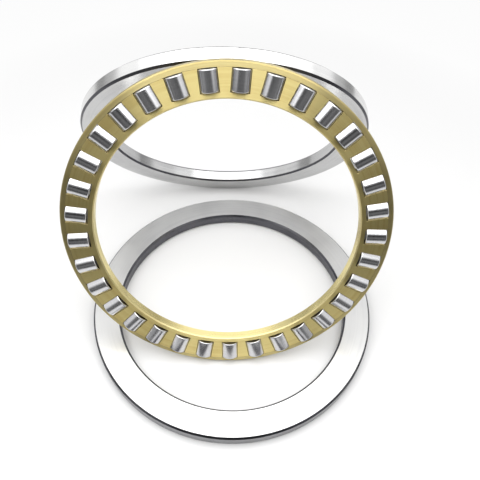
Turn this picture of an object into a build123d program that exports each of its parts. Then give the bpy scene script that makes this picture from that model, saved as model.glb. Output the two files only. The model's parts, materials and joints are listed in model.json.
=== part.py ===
# Cylindrical roller thrust bearing, taken apart and stood together on a flat surface.
# The housing washer lies flat, the cage with its rollers stands in its bore and leans
# back, and the shaft washer stands behind and leans forward on the cage.
# Millimetres. Origin: centre of the housing washer's seat. X right, Y back, Z up.
import os
from math import cos, radians, sin, tan

from build123d import *

# Washers: the housing washer's bore is larger than the shaft by a clearance all round
shaft_diameter = 320.0
washer_width = 37.5
washer_thickness = 19.0
washer_chamfer = 2.5
housing_bore_clearance = 2.5

# Rollers
roller_count = 33
roller_diameter = 25.0
roller_length = 25.0
roller_chamfer = 1.4

# Cage
cage_bore_clearance = 0.25
cage_thickness = 15.0
inner_rim_width = 6.7
outer_band_width = 6.4
cage_chamfer = 1.4
band_relief = 1.0
pocket_clearance = 0.2
pocket_end_clearance = 0.8

# Arrangement: how the pieces stand
cage_lean = 66.0
cage_foot_inset = 80.0
cage_shift = -8.2
cage_turn = 1.4
shaft_washer_lean = 66.5
shaft_washer_shift = -12.4
leaning_gap = 0.4

# Radii and lengths worked out from the sizes above
roller_radius = roller_diameter / 2
shaft_washer_bore = shaft_diameter
shaft_washer_radius = shaft_washer_bore / 2 + washer_width
housing_washer_bore = shaft_diameter + 2 * housing_bore_clearance
housing_washer_radius = housing_washer_bore / 2 + washer_width
cage_bore = shaft_diameter + 2 * cage_bore_clearance
pocket_start = cage_bore / 2 + inner_rim_width
pocket_end = pocket_start + roller_length + 2 * pocket_end_clearance
roller_reach = pocket_end - pocket_end_clearance
cage_radius = pocket_end + outer_band_width
pocket_radius = roller_radius + pocket_clearance

# Cage frame: +Z is the axis, out of the face that is seen, from mid-thickness; local +Y
# runs up the lean. The cage stands on the rear edge of its outer wall.
cage_tilt = radians(cage_lean)
cage_edge_drop = band_relief + cage_chamfer
cage_half = cage_thickness / 2
cage_centre_height = cage_radius * sin(cage_tilt) + (cage_half - cage_edge_drop) * cos(cage_tilt)
cage_foot_y = -housing_washer_bore / 2 + cage_foot_inset
cage_centre_y = cage_foot_y + cage_radius * cos(cage_tilt)
cage_frame = Plane(
    origin=(cage_shift, cage_centre_y, cage_centre_height),
    x_dir=(1, 0, 0),
    z_dir=(0, -sin(cage_tilt), cos(cage_tilt)),
)

# Shaft washer frame: +Z is the axis, out of the raceway face that is seen. It stands on
# the front edge of its outer wall and leans on the back of the cage's top.
washer_tilt = radians(shaft_washer_lean)
washer_height = shaft_washer_radius * sin(washer_tilt) - washer_chamfer * cos(washer_tilt)
washer_top = washer_height + (shaft_washer_radius - washer_chamfer) * sin(washer_tilt)


def washer_y_behind(up, back):
    """Where the shaft washer's centre goes to clear a corner of the cage and what is below.

    The corner lies up the cage's lean and back along its axis from the cage's centre.
    """
    y = cage_centre_y + up * cos(cage_tilt) + back * sin(cage_tilt)
    z = cage_centre_height + up * sin(cage_tilt) - back * cos(cage_tilt)
    height = min(z, washer_top)
    y -= (z - height) / tan(cage_tilt)
    return y + leaning_gap + (height - washer_height) / tan(washer_tilt)


washer_centre_y = max(
    washer_y_behind(cage_radius, cage_half),
    washer_y_behind(roller_reach - roller_chamfer, roller_radius),
    washer_y_behind(roller_reach, roller_radius - roller_chamfer),
)
shaft_washer_frame = Plane(
    origin=(shaft_washer_shift, washer_centre_y, washer_height),
    x_dir=(1, 0, 0),
    z_dir=(0, -sin(washer_tilt), -cos(washer_tilt)),
)


def section_plane(frame):
    """Plane through a ring's axis: its X is the radius and its Y is the ring's axis."""
    return Plane(origin=frame.origin, x_dir=frame.x_dir, z_dir=-frame.y_dir)


def ring_axis(frame):
    """Axis of a ring whose frame is given."""
    return Axis(frame.origin, frame.z_dir)


def make_washer(frame, bore):
    """A plain turned washer with its raceway face on the frame's plane."""
    with BuildPart() as washer:
        with BuildSketch(frame):
            Circle(bore / 2 + washer_width)
            Circle(bore / 2, mode=Mode.SUBTRACT)
        extrude(amount=-washer_thickness)
        chamfer(washer.edges().filter_by(GeomType.CIRCLE), washer_chamfer)
    return washer.part


# Housing washer: lies on its seat with the raceway up
housing_washer = make_washer(Plane.XY.offset(washer_thickness), housing_washer_bore)

# Shaft washer: leans forward with the raceway to the front
shaft_washer = make_washer(shaft_washer_frame, shaft_washer_bore)

# Spokes: one plane for each roller, its origin at the pocket's inner end, +Z out along
# the radius and +Y along the cage's axis. The first roller is near the foot.
spokes = []
for index in range(roller_count):
    angle = radians(360 * index / roller_count - 90 + cage_turn)
    radius_dir = cage_frame.x_dir * cos(angle) + cage_frame.y_dir * sin(angle)
    spokes.append(
        Plane(
            origin=cage_frame.origin + radius_dir * pocket_start,
            x_dir=cage_frame.z_dir.cross(radius_dir) * -1,
            z_dir=radius_dir,
        )
    )

# Cage body: a turned ring with round pockets bored in from the outside. A pocket is wider
# than the ring is thick, so it opens both faces, and its walls wrap round the roller.
with BuildPart() as cage_body:
    with BuildSketch(cage_frame.offset(-cage_half)):
        Circle(pocket_end)
        Circle(cage_bore / 2, mode=Mode.SUBTRACT)
    extrude(amount=cage_thickness)
    bore_edges = cage_body.edges().filter_by(GeomType.CIRCLE).sort_by(SortBy.RADIUS)[:2]
    chamfer(bore_edges, cage_chamfer)
    with BuildSketch(*spokes):
        Circle(pocket_radius)
    extrude(amount=pocket_end, mode=Mode.SUBTRACT)

# Cage band: pressed round the body, closes the pockets; its faces fall away to the rim
with BuildPart() as cage_band:
    rim_half = cage_half - band_relief
    with BuildSketch(section_plane(cage_frame)):
        with BuildLine():
            Polyline(
                (pocket_end, -cage_half),
                (cage_radius - cage_chamfer, -rim_half),
                (cage_radius, cage_chamfer - rim_half),
                (cage_radius, rim_half - cage_chamfer),
                (cage_radius - cage_chamfer, rim_half),
                (pocket_end, cage_half),
                close=True,
            )
        make_face()
    revolve(axis=ring_axis(cage_frame))


def make_roller(spoke):
    """A roller that lies in the pocket of its spoke."""
    with BuildPart() as roller:
        with BuildSketch(spoke.offset(pocket_end_clearance)):
            Circle(roller_radius)
        extrude(amount=roller_length)
        chamfer(roller.edges().filter_by(GeomType.CIRCLE), roller_chamfer)
    return roller.part


os.makedirs("parts", exist_ok=True)
pieces = {
    "housing_washer": housing_washer,
    "shaft_washer": shaft_washer,
    "cage_body": cage_body.part,
    "cage_band": cage_band.part,
}
for index, spoke in enumerate(spokes):
    pieces[f"roller_{index + 1:02d}"] = make_roller(spoke)
for name, piece in pieces.items():
    piece.label = name
    export_step(piece, f"parts/{name}.step")
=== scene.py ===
# Looks of a cylindrical roller thrust bearing, taken apart: two steel washers and a brass
# cage with 33 rollers. Washers, closing band and rollers are lathed here from their own
# sections and the cage body is built level by level, with the small edge breaks and rounded
# corners that the solids leave out. Turned and ground finishes run round the axis of each
# piece. Metres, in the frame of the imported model.
import json
import math

import bmesh
import bpy
from mathutils import Matrix, Vector


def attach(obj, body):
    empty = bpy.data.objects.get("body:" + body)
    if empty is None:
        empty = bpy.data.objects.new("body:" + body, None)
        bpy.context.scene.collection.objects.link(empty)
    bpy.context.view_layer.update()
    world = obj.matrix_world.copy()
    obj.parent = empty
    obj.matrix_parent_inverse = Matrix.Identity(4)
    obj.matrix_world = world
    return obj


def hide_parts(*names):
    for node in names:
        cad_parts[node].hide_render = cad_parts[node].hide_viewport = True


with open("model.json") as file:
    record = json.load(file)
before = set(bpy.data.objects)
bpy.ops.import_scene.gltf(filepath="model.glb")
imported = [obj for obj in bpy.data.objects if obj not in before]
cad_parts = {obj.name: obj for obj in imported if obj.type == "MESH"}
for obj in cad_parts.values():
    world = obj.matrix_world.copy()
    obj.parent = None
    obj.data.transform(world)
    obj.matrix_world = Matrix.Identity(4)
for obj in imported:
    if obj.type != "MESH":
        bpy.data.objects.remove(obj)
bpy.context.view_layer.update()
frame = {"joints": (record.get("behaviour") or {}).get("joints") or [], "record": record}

MM = 0.001

# The mounts by name, and for each roller its spin joint, which lies along a spoke of the cage
mounts = {m["name"]: m for m in frame["record"]["mounts"]}
spokes = {j["child"]: j for j in frame["joints"]}

# Washers
washer_width = 37.5 * MM
washer_thickness = 19.0 * MM
washer_chamfer = 2.5 * MM
washer_edge_break = 0.3 * MM
housing_washer_bore_radius = mounts["housing_wall"]["dims"]["r_mm"] * MM - washer_width
shaft_washer_bore_radius = mounts["shaft_bore"]["dims"]["r_mm"] * MM

# Rollers
roller_radius = 12.5 * MM
roller_length = 25.0 * MM
roller_corner = 1.4 * MM
roller_dimple_radius = 3.0 * MM
roller_dimple_depth = 0.6 * MM

# Cage
cage_bore_radius = mounts["cage_bore"]["dims"]["r_mm"] * MM
cage_thickness = 15.0 * MM
cage_chamfer = 1.4 * MM
cage_edge_break = 0.25 * MM
inner_rim_width = 6.7 * MM
outer_band_width = 6.4 * MM
band_relief = 1.0 * MM
band_seam_break = 0.08 * MM
pocket_clearance = 0.2 * MM
pocket_end_clearance = 0.8 * MM
pocket_radius = roller_radius + pocket_clearance
pocket_length = roller_length + 2 * pocket_end_clearance

# How finely round forms are divided
ring_segments = 360
roller_segments = 72
break_steps = 4
roller_corner_steps = 6
pocket_steps = 10
# A row of points beside each rounded edge keeps the shading of flat walls flat
support_gap = 0.05 * MM
merge_distance = 1e-7
sharp_angle = math.radians(25)


# Places from the frame
def axis_matrix(centre, x, y, z):
    """Matrix that puts local X, Y and Z on the three directions, with its origin at centre."""
    return Matrix.Translation(Vector(centre)) @ Matrix((x, y, z)).transposed().to_4x4()


def ring_matrix(centre, axis):
    """Matrix of a ring: local Z is its axis and local X stays level, to the right."""
    z = Vector(axis).normalized()
    x = Vector((1, 0, 0))
    return axis_matrix(centre, x, z.cross(x), z)


def roller_matrix(centre, axis):
    """Matrix of a roller: local Z is its axis and local X is level."""
    z = Vector(axis).normalized()
    x = Vector((0, 0, 1)).cross(z).normalized()
    return axis_matrix(centre, x, z.cross(x), z)


housing_washer_matrix = ring_matrix((0, 0, washer_thickness / 2), (0, 0, 1))
shaft_washer_matrix = ring_matrix(mounts["shaft_bore"]["pos_m"], mounts["shaft_bore"]["axis"])
cage_matrix = ring_matrix(mounts["cage_bore"]["pos_m"], mounts["cage_bore"]["axis"])


# Nodes that the materials and the surroundings share
def math_node(nodes, links, operation, *values):
    """A Math node; the values are sockets or numbers. Returns its output."""
    node = nodes.new("ShaderNodeMath")
    node.operation = operation
    for slot, value in enumerate(values):
        if isinstance(value, (int, float)):
            node.inputs[slot].default_value = value
        else:
            links.new(value, node.inputs[slot])
    return node.outputs[0]


def noise(nodes, links, vector, scale, detail):
    """A noise texture's grey value."""
    node = nodes.new("ShaderNodeTexNoise")
    node.inputs["Scale"].default_value = scale
    node.inputs["Detail"].default_value = detail
    links.new(vector, node.inputs["Vector"])
    return node.outputs["Fac"]


def scaled(nodes, links, vector, scale):
    """A vector scaled along each of its axes."""
    node = nodes.new("ShaderNodeMapping")
    node.inputs["Scale"].default_value = scale
    links.new(vector, node.inputs["Vector"])
    return node.outputs["Vector"]


def map_range(nodes, links, value, from_range, to_range=(0.0, 1.0)):
    """Maps one range of values to another."""
    node = nodes.new("ShaderNodeMapRange")
    node.inputs["From Min"].default_value, node.inputs["From Max"].default_value = from_range
    node.inputs["To Min"].default_value, node.inputs["To Max"].default_value = to_range
    links.new(value, node.inputs["Value"])
    return node.outputs["Result"]


def mix_colour(nodes, links, factor, a, b):
    """Goes from a to b by factor; a and b are sockets or colours."""
    node = nodes.new("ShaderNodeMix")
    node.data_type = "RGBA"
    links.new(factor, node.inputs["Factor"])
    for slot, value in (("A", a), ("B", b)):
        if isinstance(value, tuple):
            node.inputs[slot].default_value = (*value, 1)
        else:
            links.new(value, node.inputs[slot])
    return node.outputs["Result"]


def grey_ramp(nodes, links, value, stops):
    """A ramp from a value to a grey, through (value, grey) stops that rise in value."""
    low, high = stops[0][0], stops[-1][0]
    ramp = nodes.new("ShaderNodeValToRGB")
    links.new(map_range(nodes, links, value, (low, high)), ramp.inputs["Fac"])
    elements = ramp.color_ramp.elements
    for _ in stops[2:]:
        elements.new(0.5)
    for element, (spot, grey) in zip(elements, stops):
        element.position = (spot - low) / (high - low)
        element.color = (grey, grey, grey, 1)
    return ramp.outputs["Color"]


def new_material(name):
    """A new material; returns it with its nodes, links and shader."""
    material = bpy.data.materials.new(name)
    material.use_nodes = True
    nodes, links = material.node_tree.nodes, material.node_tree.links
    return material, nodes, links, nodes["Principled BSDF"]


# Metals: most of a noise lies in noise_middle. Marks, broad bands of them and cloudy patches
# move the colour about base_share, and marks and patches move the roughness too.
noise_middle = (0.3, 0.7)
base_share = 0.7
mark_tone = (-0.5, 0.5)
cloud_tone = (-0.6, 0.6)
mark_roughness = (-0.02, 0.02)
band_stretch = (0.5, 0.12)
cloud_scale = 25.0
bump_strength = 0.35
quarter_turn = 0.25


def turned_metal(name, base, tint, roughness, anisotropic, lay, mark, bump, smudge):
    """Turned, ground or milled metal: its marks run along the ring map's u.

    The colour lies between tint and base. lay is how long a mark stays the same, mark is how
    far apart the marks are, bump is their depth and smudge is the patches' change of roughness.
    """
    material, nodes, links, shader = new_material(name)
    shader.inputs["Base Color"].default_value = (*base, 1)
    shader.inputs["Metallic"].default_value = 1.0
    shader.inputs["Roughness"].default_value = roughness
    shader.inputs["Anisotropic"].default_value = anisotropic
    ring_map = nodes.new("ShaderNodeUVMap")
    ring_map.uv_map = "ring"
    along = scaled(nodes, links, ring_map.outputs["UV"], (1 / lay, 1 / mark, 1))
    broad = scaled(nodes, links, ring_map.outputs["UV"],
                   (band_stretch[0] / lay, band_stretch[1] / mark, 1))
    place = nodes.new("ShaderNodeTexCoord")
    lines = noise(nodes, links, along, scale=1.0, detail=3.0)
    bands = noise(nodes, links, broad, scale=1.0, detail=1.0)
    cloud = noise(nodes, links, place.outputs["Object"], scale=cloud_scale, detail=3.0)

    tone = math_node(nodes, links, "ADD", map_range(nodes, links, lines, noise_middle, mark_tone),
                     map_range(nodes, links, bands, noise_middle, mark_tone))
    tone = math_node(nodes, links, "ADD", tone,
                     map_range(nodes, links, cloud, noise_middle, cloud_tone))
    tone = math_node(nodes, links, "ADD", tone, base_share)
    links.new(mix_colour(nodes, links, tone, tint, base), shader.inputs["Base Color"])

    rough = math_node(nodes, links, "ADD",
                      map_range(nodes, links, lines, noise_middle, mark_roughness),
                      map_range(nodes, links, cloud, noise_middle, (-smudge, smudge)))
    links.new(math_node(nodes, links, "ADD", rough, roughness), shader.inputs["Roughness"])

    height = nodes.new("ShaderNodeBump")
    height.inputs["Strength"].default_value = bump_strength
    height.inputs["Distance"].default_value = bump
    links.new(lines, height.inputs["Height"])
    links.new(height.outputs["Normal"], shader.inputs["Normal"])

    if anisotropic:
        shader.inputs["Anisotropic Rotation"].default_value = quarter_turn
        tangent = nodes.new("ShaderNodeTangent")
        tangent.direction_type = "UV_MAP"
        tangent.uv_map = "ring"
        links.new(tangent.outputs["Tangent"], shader.inputs["Tangent"])
    return material


# Kinds of marks
ground = {"lay": 160 * MM, "mark": 0.60 * MM, "bump": 0.005 * MM, "smudge": 0.02}
turned = {"lay": 110 * MM, "mark": 0.50 * MM, "bump": 0.010 * MM, "smudge": 0.05}
deeply_turned = {"lay": 110 * MM, "mark": 0.50 * MM, "bump": 0.013 * MM, "smudge": 0.05}
finely_turned = {"lay": 140 * MM, "mark": 0.50 * MM, "bump": 0.007 * MM, "smudge": 0.02}
milled = {"lay": 20 * MM, "mark": 0.45 * MM, "bump": 0.018 * MM, "smudge": 0.05}
finely_ground = {"lay": 35 * MM, "mark": 0.35 * MM, "bump": 0.0035 * MM, "smudge": 0.03}
faced = {"lay": 20 * MM, "mark": 0.35 * MM, "bump": 0.007 * MM, "smudge": 0.05}

ground_steel = turned_metal("ground_steel", (0.76, 0.76, 0.755), (0.69, 0.69, 0.69),
                            roughness=0.20, anisotropic=0.45, **ground)
satin_steel = turned_metal("satin_steel", (0.77, 0.77, 0.765), (0.71, 0.71, 0.71),
                           roughness=0.36, anisotropic=0.50, **ground)
bore_steel = turned_metal("bore_steel", (0.52, 0.52, 0.52), (0.45, 0.45, 0.455),
                          roughness=0.20, anisotropic=0.45, **ground)
# Painted shade: the housing washer's outer wall is coloured much darker than bare steel, standing
# in for the shaded floor that it reflects near its foot.
rim_steel_painted_shade = turned_metal("rim_steel_painted_shade", (0.27, 0.27, 0.28), (0.22, 0.22, 0.23),
                         roughness=0.30, anisotropic=0.45, **ground)
# Partly painted shade: the shaft washer's ground face is steel, and is made darker than the housing
# washer's face to stand in for the shaded floor that it reflects near its foot.
raceway_steel_painted_shade = turned_metal("raceway_steel_painted_shade", (0.58, 0.58, 0.58), (0.50, 0.50, 0.505),
                             roughness=0.20, anisotropic=0.45, **ground)
# Painted shade: the housing washer's bore wall is coloured nearly black, standing in for the shade
# inside the bore and the shaded floor that it reflects there.
bore_steel_painted_shade = turned_metal("bore_steel_painted_shade", (0.13, 0.13, 0.145), (0.09, 0.09, 0.10),
                          roughness=0.28, anisotropic=0.35, **turned)
# Painted shade: both washers' chamfers keep real turned marks, and their near-black colour stands
# in for the dark lines of shade along the edges.
turned_steel_painted_shade = turned_metal("turned_steel_painted_shade", (0.10, 0.10, 0.11), (0.06, 0.06, 0.07),
                            roughness=0.30, anisotropic=0.35, **deeply_turned)
face_brass = turned_metal("face_brass", (0.94, 0.80, 0.36), (0.85, 0.69, 0.28),
                          roughness=0.50, anisotropic=1.0, **finely_turned)
band_brass = turned_metal("band_brass", (0.76, 0.65, 0.31), (0.68, 0.56, 0.25),
                          roughness=0.50, anisotropic=1.0, **finely_turned)
# Painted shade: the cage's chamfers and the band's outer wall are a darker brass than the faces,
# standing in for the dark shaded lines along the cage's edges.
edge_brass_painted_shade = turned_metal("edge_brass_painted_shade", (0.58, 0.50, 0.26), (0.50, 0.42, 0.20),
                          roughness=0.34, anisotropic=0.40, **turned)
wall_brass = turned_metal("wall_brass", (0.94, 0.82, 0.40), (0.86, 0.72, 0.32),
                          roughness=0.26, anisotropic=0.40, **turned)
milled_brass = turned_metal("milled_brass", (0.62, 0.50, 0.24), (0.46, 0.36, 0.16),
                            roughness=0.38, anisotropic=0.0, **milled)
roller_ground = turned_metal("roller_ground", (0.61, 0.61, 0.625), (0.55, 0.55, 0.565),
                             roughness=0.20, anisotropic=0.20, **finely_ground)
# Painted shade: the roller ends are coloured far darker than the ground sides, standing in for the
# shade in the pockets round them.
roller_end_painted_shade = turned_metal("roller_end_painted_shade", (0.20, 0.20, 0.21), (0.15, 0.15, 0.16),
                          roughness=0.26, anisotropic=0.20, **faced)


# Lathed pieces
def new_piece(name, bm, materials):
    """A scene object from a finished mesh; its faces count the materials from 0."""
    mesh = bpy.data.meshes.new(name)
    bm.to_mesh(mesh)
    bm.free()
    for material in materials:
        mesh.materials.append(material)
    piece = bpy.data.objects.new(name, mesh)
    bpy.context.scene.collection.objects.link(piece)
    return piece


def rounded(corners, usual_radius):
    """A closed section with each corner rounded, as (r, z, finish) points.

    A corner is (r, z, finish), or (r, z, finish, radius) where its radius isn't the usual one.
    finish is that of the wall after it.
    """
    points = []
    for i, (r, z, finish, *own_radius) in enumerate(corners):
        here = Vector((r, z))
        before = Vector(corners[i - 1][:2])
        after = Vector(corners[(i + 1) % len(corners)][:2])
        last_finish = corners[i - 1][2]
        radius = own_radius[0] if own_radius else usual_radius
        to_before = (before - here).normalized()
        to_after = (after - here).normalized()
        half = to_before.angle(to_after) / 2
        reach = radius / math.tan(half)
        middle = here + (to_before + to_after).normalized() * (radius / math.sin(half))
        start = here + to_before * reach
        end = here + to_after * reach
        spoke = start - middle
        sweep = spoke.angle_signed(end - middle)
        points.append((*(start + to_before * support_gap), last_finish))
        for step in range(break_steps + 1):
            spot = middle + Matrix.Rotation(-sweep * step / break_steps, 2) @ spoke
            points.append((*spot, last_finish if step < break_steps / 2 else finish))
        points.append((*(end + to_after * support_gap), finish))
    return points


def lathe(name, matrix, section, segments, materials, closed=True):
    """A turned piece from (r, z, finish) points, with its ring map; its axis is matrix's Z."""
    bm = bmesh.new()
    ring_map = bm.loops.layers.uv.new("ring")
    mean_radius = sum(p[0] for p in section) / len(section)
    walls = list(zip(section, section[1:] + section[:1]))
    if not closed:
        walls.pop()
    lengths = [0.0]
    for p, q in walls:
        lengths.append(lengths[-1] + math.dist(p[:2], q[:2]))
    columns = []
    for s in range(segments):
        angle = 2 * math.pi * s / segments
        columns.append([
            bm.verts.new(matrix @ Vector((r * math.cos(angle), r * math.sin(angle), z)))
            for r, z, _ in section
        ])
    for s in range(segments):
        left, right = columns[s], columns[(s + 1) % segments]
        u_left, u_right = (2 * math.pi * mean_radius * k / segments for k in (s, s + 1))
        for i, (p, q) in enumerate(walls):
            j = (i + 1) % len(section)
            corners = [(left[i], u_left, lengths[i]), (right[i], u_right, lengths[i]),
                       (right[j], u_right, lengths[i + 1]), (left[j], u_left, lengths[i + 1])]
            if p[0] == 0:
                corners.pop(1)
            elif q[0] == 0:
                corners.pop(2)
            face = bm.faces.new([corner[0] for corner in corners])
            face.smooth = True
            face.material_index = p[2]
            for loop, (_, u, v) in zip(face.loops, corners):
                loop[ring_map].uv = (u, v)
    if not closed:
        bmesh.ops.remove_doubles(bm, verts=bm.verts, dist=merge_distance)
    bmesh.ops.recalc_face_normals(bm, faces=bm.faces)
    return new_piece(name, bm, materials)


def washer(name, matrix, bore_radius, face_finish, rim_finish, bore_finish):
    """A plain washer: its faces, outer wall and bore wall, and turned chamfers between them."""
    inner, outer = bore_radius, bore_radius + washer_width
    half, cut = washer_thickness / 2, washer_chamfer
    face, rim, wall, edge = range(4)
    corners = [
        (inner + cut, half, face),
        (outer - cut, half, edge),
        (outer, half - cut, rim),
        (outer, cut - half, edge),
        (outer - cut, -half, face),
        (inner + cut, -half, edge),
        (inner, cut - half, wall),
        (inner, half - cut, edge),
    ]
    return lathe(name, matrix, rounded(corners, washer_edge_break), ring_segments,
                 [face_finish, rim_finish, bore_finish, turned_steel_painted_shade])


def cage_closing_band():
    """The band that is pressed round the cage body; its faces fall away to the rim."""
    inner = cage_bore_radius + inner_rim_width + pocket_length
    outer = inner + outer_band_width
    half = cage_thickness / 2
    rim = half - band_relief
    face, wall = range(2)
    corners = [
        (inner, half, face, band_seam_break),
        (outer - cage_chamfer, rim, face),
        (outer, rim - cage_chamfer, wall),
        (outer, cage_chamfer - rim, face),
        (outer - cage_chamfer, -rim, face),
        (inner, -half, wall, band_seam_break),
    ]
    return lathe("cage_closing_band", cage_matrix, rounded(corners, cage_edge_break),
                 ring_segments, [band_brass, edge_brass_painted_shade])


def roller(name, spoke):
    """A ground roller: rounded corners and a shallow centre dimple in each end."""
    half, corner = roller_length / 2, roller_corner
    side, end = range(2)
    dimple_floor = roller_dimple_radius - roller_dimple_depth
    corner_start = roller_radius - corner
    turns = [math.pi / 2 * k / roller_corner_steps for k in range(roller_corner_steps + 1)]
    lower_end = [(0.0, roller_dimple_depth - half, end),
                 (dimple_floor, roller_dimple_depth - half, end),
                 (roller_dimple_radius, -half, end),
                 (corner_start - support_gap, -half, end)]
    lower_corner = [(corner_start + corner * math.sin(turn),
                     -half + corner - corner * math.cos(turn), side) for turn in turns]
    wall = [(roller_radius, support_gap + corner - half, side),
            (roller_radius, half - corner - support_gap, side)]
    upper_corner = [(corner_start + corner * math.cos(turn),
                     half - corner + corner * math.sin(turn), side) for turn in turns[:-1]]
    upper_end = [(corner_start, half, end),
                 (corner_start - support_gap, half, end),
                 (roller_dimple_radius, half, end),
                 (dimple_floor, half - roller_dimple_depth, end),
                 (0.0, half - roller_dimple_depth, end)]
    section = lower_end + lower_corner + wall + upper_corner + upper_end
    return lathe(name, roller_matrix(spoke["pos_m"], spoke["axis"]), section, roller_segments,
                 [roller_ground, roller_end_painted_shade], closed=False)


# Cage body: a sector for each roller, from halfway to the last one to halfway to the next
sector_count = len(spokes)
half_sector = math.pi / sector_count
first_spoke = cage_matrix.to_3x3().transposed() @ Vector(spokes["roller_01"]["axis"])
first_angle = math.atan2(first_spoke.y, first_spoke.x)
sector_middles = [first_angle + 2 * half_sector * k for k in range(sector_count)]

# Where a pocket opens in a face as a window with broken edges
cage_half = cage_thickness / 2
rim_end = cage_bore_radius + inner_rim_width
body_radius = rim_end + pocket_length
edge_height = cage_half - cage_edge_break
window_half_width = math.sqrt(pocket_radius ** 2 - edge_height ** 2) + cage_edge_break
window_inner_end = rim_end - cage_edge_break
window_corner_angle = math.atan(window_half_width / window_inner_end)
window_corner_radius = math.hypot(window_inner_end, window_half_width)
inner_end_shares = (-1.0, -0.5, 0.0, 0.5, 1.0)


def polar(radius, angle, z):
    """A point placed by its distance from the ring's axis and its angle round it."""
    return Vector((radius * math.cos(angle), radius * math.sin(angle), z))


def by_spoke(middle, along, across, z):
    """A point placed by its distance along the spoke at the angle middle and across it."""
    out_x, out_y = math.cos(middle), math.sin(middle)
    return Vector((along * out_x - across * out_y, along * out_y + across * out_x, z))


def body_levels():
    """Each level's height, and there half the pocket's width, its inner end and the radius."""
    at_face = (window_half_width, window_inner_end, body_radius - cage_edge_break)
    levels = [(cage_half, *at_face)]
    for step in range(pocket_steps + 1):
        z = edge_height * (1 - 2 * step / pocket_steps)
        levels.append((z, math.sqrt(pocket_radius ** 2 - z ** 2), rim_end, body_radius))
    return levels + [(-cage_half, *at_face)]


def body_outline(z, half_width, inner_end, radius):
    """One level's points: for each sector the edge that it shares, then round its pocket."""
    points = []
    reach = math.sqrt(radius ** 2 - half_width ** 2)
    for middle in sector_middles:
        points.append(polar(radius, middle - half_sector, z))
        points.append(by_spoke(middle, reach, -half_width, z))
        for share in inner_end_shares:
            points.append(by_spoke(middle, inner_end, half_width * share, z))
        points.append(by_spoke(middle, reach, half_width, z))
    return points


def bore_outline(z, radius):
    """The bore's points at one level, in line with those of the pockets' inner ends."""
    turns = [-half_sector] + [window_corner_angle * share for share in inner_end_shares]
    return [polar(radius, middle + turn, z) for middle in sector_middles for turn in turns]


def foot_outline(z):
    """A point between each two pockets, on the circle of their inner corners."""
    return [polar(window_corner_radius, middle - half_sector, z) for middle in sector_middles]


def walls_between(upper, lower):
    """The quads that join two outlines of as many points."""
    return [[upper[i], upper[j], lower[j], lower[i]]
            for i, j in ((i, (i + 1) % len(upper)) for i in range(len(upper)))]


def by_sector(outline):
    """An outline's points as one list for each sector."""
    size = len(outline) // sector_count
    return [outline[k * size:(k + 1) * size] for k in range(sector_count)]


def end_face(outline, bore, feet):
    """The quads of the front or back face, from the bore past the pockets to the outline."""
    quads = []
    sectors, bore_sectors = by_sector(outline), by_sector(bore)
    for k in range(sector_count):
        after = (k + 1) % sector_count
        edge, left, *inner_end, right = sectors[k]
        bore_edge, *bore_end = bore_sectors[k]
        quads.append([bore_edge, bore_end[0], inner_end[0], feet[k]])
        quads += [[bore_end[m], bore_end[m + 1], inner_end[m + 1], inner_end[m]]
                  for m in range(len(inner_end) - 1)]
        quads.append([bore_end[-1], bore_sectors[after][0], feet[after], inner_end[-1]])
        quads.append([feet[k], inner_end[0], left, edge])
        quads.append([inner_end[-1], feet[after], sectors[after][0], right])
    return quads


def cage_body():
    """The cage body: a turned ring with a round pocket bored in for each roller."""
    bm = bmesh.new()
    ring_map = bm.loops.layers.uv.new("ring")
    inverse = cage_matrix.inverted()
    face_finish, bore_finish, milled_finish, edge_finish = range(4)

    def vertices(points):
        return [bm.verts.new(cage_matrix @ point) for point in points]

    def add_faces(quads, finish, smooth=False):
        """Faces with their ring map: u round the ring, v along its section."""
        for quad in quads:
            face = bm.faces.new(quad)
            face.material_index = finish
            face.smooth = smooth
            local = [inverse @ vertex.co for vertex in quad]
            base = math.atan2(local[0].y, local[0].x)
            for loop, p in zip(face.loops, local):
                turn = (math.atan2(p.y, p.x) - base + math.pi) % (2 * math.pi) - math.pi
                loop[ring_map].uv = ((base + turn) * body_radius, math.hypot(p.x, p.y) - p.z)

    outlines = [vertices(body_outline(*level)) for level in body_levels()]
    for upper, lower in zip(outlines, outlines[1:]):
        add_faces(walls_between(upper, lower), milled_finish, smooth=True)
    bores = [vertices(bore_outline(z, radius)) for z, radius in (
        (cage_half, cage_bore_radius + cage_chamfer),
        (cage_half - cage_chamfer, cage_bore_radius),
        (cage_chamfer - cage_half, cage_bore_radius),
        (-cage_half, cage_bore_radius + cage_chamfer),
    )]
    for upper, lower, finish in zip(bores, bores[1:], (edge_finish, bore_finish, edge_finish)):
        add_faces(walls_between(upper, lower), finish, smooth=True)
    for outline, bore, z in ((outlines[0], bores[0], cage_half),
                             (outlines[-1], bores[-1], -cage_half)):
        add_faces(end_face(outline, bore, vertices(foot_outline(z))), face_finish)
    bmesh.ops.remove_doubles(bm, verts=bm.verts, dist=merge_distance)
    bmesh.ops.dissolve_degenerate(bm, dist=merge_distance, edges=bm.edges)
    bmesh.ops.recalc_face_normals(bm, faces=bm.faces)
    piece = new_piece("cage_ring", bm, [face_brass, wall_brass, milled_brass, edge_brass_painted_shade])
    piece.data.set_sharp_from_angle(angle=sharp_angle)
    return piece


# Pieces
root_body = "cage_and_washers"


def stand_in(piece, body, node):
    """A piece that rides on a body and stands for one node."""
    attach(piece, body)
    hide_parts(node)


housing_ring = washer("housing_ring", housing_washer_matrix, housing_washer_bore_radius,
                      satin_steel, rim_steel_painted_shade, bore_steel_painted_shade)
shaft_ring = washer("shaft_ring", shaft_washer_matrix, shaft_washer_bore_radius,
                    raceway_steel_painted_shade, ground_steel, bore_steel)
stand_in(housing_ring, root_body, "housing_washer")
stand_in(shaft_ring, root_body, "shaft_washer")
stand_in(cage_body(), root_body, "cage_body")
stand_in(cage_closing_band(), root_body, "cage_band")
for body, spoke in spokes.items():
    stand_in(roller(f"{body}_ground", spoke), body, body)

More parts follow.
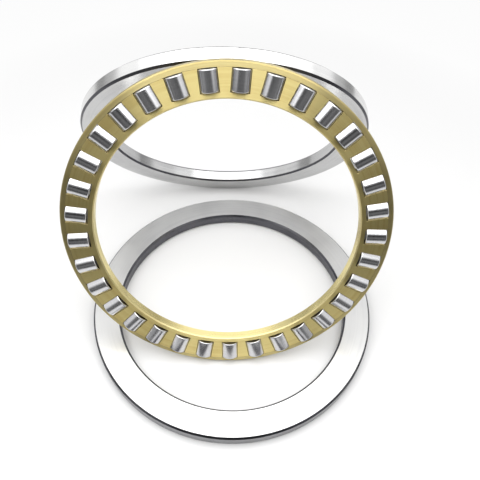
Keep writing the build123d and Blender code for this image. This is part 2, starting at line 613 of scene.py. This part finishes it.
# Floor: pale round the object, whiter with the distance from its middle, and dark in front.
# Its whiteness is (distance, share) stops.
floor_radius = 1.8
floor_segments = 96
floor_drop = 0.1 * MM
floor_front = -0.30
floor_fade = 0.21
floor_pale = 0.80
floor_dark = 0.08
floor_middle = (0.0, 0.08, 0.0)
floor_whiteness = [(0.30, 0.0), (0.75, 0.90)]


def floor_look():
    """A pale floor that keeps soft shadows, whiter farther out, and falls away to dark in front."""
    material, nodes, links, shader = new_material("floor_pale")
    place = nodes.new("ShaderNodeTexCoord")
    parts = nodes.new("ShaderNodeSeparateXYZ")
    links.new(place.outputs["Object"], parts.inputs["Vector"])
    colour = grey_ramp(nodes, links, parts.outputs["Y"],
                       [(floor_front - floor_fade, floor_dark), (floor_front, floor_pale)])
    links.new(colour, shader.inputs["Base Color"])
    shader.inputs["Roughness"].default_value = 0.9
    shader.inputs["Specular IOR Level"].default_value = 0.1
    distance = nodes.new("ShaderNodeVectorMath")
    distance.operation = "DISTANCE"
    distance.inputs[1].default_value = floor_middle
    links.new(place.outputs["Object"], distance.inputs[0])
    whiteness = grey_ramp(nodes, links, distance.outputs["Value"], floor_whiteness)
    white = nodes.new("ShaderNodeEmission")
    links.new(colour, white.inputs["Color"])
    white.inputs["Strength"].default_value = 1 / floor_pale
    path = nodes.new("ShaderNodeLightPath")
    seen = math_node(nodes, links, "MAXIMUM", path.outputs["Is Camera Ray"],
                     path.outputs["Is Glossy Ray"])
    seen = math_node(nodes, links, "MAXIMUM", seen, path.outputs["Is Transmission Ray"])
    mix = nodes.new("ShaderNodeMixShader")
    links.new(math_node(nodes, links, "MULTIPLY", seen, whiteness), mix.inputs["Fac"])
    links.new(shader.outputs["BSDF"], mix.inputs[1])
    links.new(white.outputs["Emission"], mix.inputs[2])
    links.new(mix.outputs["Shader"], nodes["Material Output"].inputs["Surface"])
    return material


def make_floor():
    """A round floor just under the washers and the cage."""
    bm = bmesh.new()
    bmesh.ops.create_circle(bm, cap_ends=True, radius=floor_radius, segments=floor_segments)
    piece = new_piece("floor", bm, [floor_look()])
    piece.location.z = -floor_drop
    return piece


floor = make_floor()

# The surroundings' brightness by the sine of the elevation, as (sine, brightness) stops in
# four zones from front to back
front_light = [(-1.0, 0.06), (-0.05, 0.15), (0.0, 0.20), (0.17, 0.20), (0.30, 0.12),
               (0.42, 0.02), (0.82, 0.02), (0.92, 0.35), (1.0, 0.35)]
side_light = [(-1.0, 0.3), (-0.02, 0.3), (0.02, 0.42), (0.16, 0.45), (0.22, 1.15),
              (0.40, 1.15), (0.66, 1.05), (0.78, 0.90), (0.86, 0.50), (0.92, 0.35), (1.0, 0.35)]
quarter_light = [(-1.0, 0.35), (-0.02, 0.35), (0.02, 0.55), (0.17, 0.65), (0.24, 1.25),
                 (0.42, 1.20), (0.64, 1.0), (0.80, 0.9), (0.90, 0.4), (1.0, 0.35)]
back_light = [(-1.0, 0.5), (-0.02, 0.5), (0.02, 1.15), (0.17, 1.2), (0.24, 1.4),
              (0.42, 1.4), (0.48, 0.12), (0.80, 0.12), (0.90, 0.35), (1.0, 0.35)]
# How far each zone counts, by the horizontal direction's share towards the back
front_reach = [(-1.0, 1.0), (-0.87, 1.0), (-0.68, 0.0), (1.0, 0.0)]
quarter_reach = [(-1.0, 0.0), (0.2, 0.0), (0.45, 1.0), (1.0, 1.0)]
back_reach = [(-1.0, 0.0), (0.90, 0.0), (0.96, 1.0), (1.0, 1.0)]


def sky():
    """Soft studio surroundings: bright at the sides and at the back, dark in front."""
    world = bpy.data.worlds.new("studio")
    bpy.context.scene.world = world
    world.use_nodes = True
    nodes, links = world.node_tree.nodes, world.node_tree.links
    where = nodes.new("ShaderNodeTexCoord")
    parts = nodes.new("ShaderNodeSeparateXYZ")
    links.new(where.outputs["Generated"], parts.inputs["Vector"])
    x, y, z = (parts.outputs[name] for name in "XYZ")
    level_squared = math_node(nodes, links, "ADD", math_node(nodes, links, "MULTIPLY", x, x),
                              math_node(nodes, links, "MULTIPLY", y, y))
    backness = math_node(nodes, links, "DIVIDE", y, math_node(nodes, links, "SQRT", level_squared))
    light = grey_ramp(nodes, links, z, side_light)
    zones = [(front_light, front_reach), (quarter_light, quarter_reach), (back_light, back_reach)]
    for stops, reach in zones:
        light = mix_colour(nodes, links, grey_ramp(nodes, links, backness, reach), light,
                           grey_ramp(nodes, links, z, stops))
    background = nodes["Background"]
    links.new(light, background.inputs["Color"])
    background.inputs["Strength"].default_value = 1.0


sky()


def softbox(name, centre, width, depth, radiance):
    """A level rectangular lamp that shines down; radiance 1 looks white."""
    light = bpy.data.lights.new(name, "AREA")
    light.shape = "RECTANGLE"
    light.size = width
    light.size_y = depth
    light.energy = radiance * math.pi * width * depth
    lamp = bpy.data.objects.new(name, light)
    lamp.location = centre
    bpy.context.scene.collection.objects.link(lamp)


softbox("overhead", (-0.06, -0.14, 0.89), width=1.12, depth=0.80, radiance=2.8)
softbox("ceiling", (0.0, 0.04, 0.90), width=2.0, depth=1.8, radiance=0.4)

# The camera, as fitted to the outlines of the three rings in the photograph
focal_pixels = 533.0
image_pixels = 480
sensor_width = 36.0
camera_place = Vector((-0.0089, -0.4089, 0.6903))
camera_down = math.radians(52.16)
camera_yaw = math.radians(2.27)
camera_roll = math.radians(-2.32)


def make_camera():
    """The photograph's viewing angle."""
    data = bpy.data.cameras.new("camera")
    data.sensor_width = sensor_width
    data.lens = focal_pixels / image_pixels * sensor_width
    camera = bpy.data.objects.new("camera", data)
    bpy.context.scene.collection.objects.link(camera)
    forward = Vector((math.sin(camera_yaw) * math.cos(camera_down),
                      math.cos(camera_yaw) * math.cos(camera_down),
                      -math.sin(camera_down)))
    level = Vector((math.cos(camera_yaw), -math.sin(camera_yaw), 0))
    down = forward.cross(level)
    right = level * math.cos(camera_roll) + down * math.sin(camera_roll)
    up = -forward.cross(right)
    rotation = Matrix((right, up, -forward)).transposed().to_4x4()
    camera.matrix_world = Matrix.Translation(camera_place) @ rotation
    bpy.context.scene.camera = camera


make_camera()
bpy.context.scene.view_settings.view_transform = "Standard"
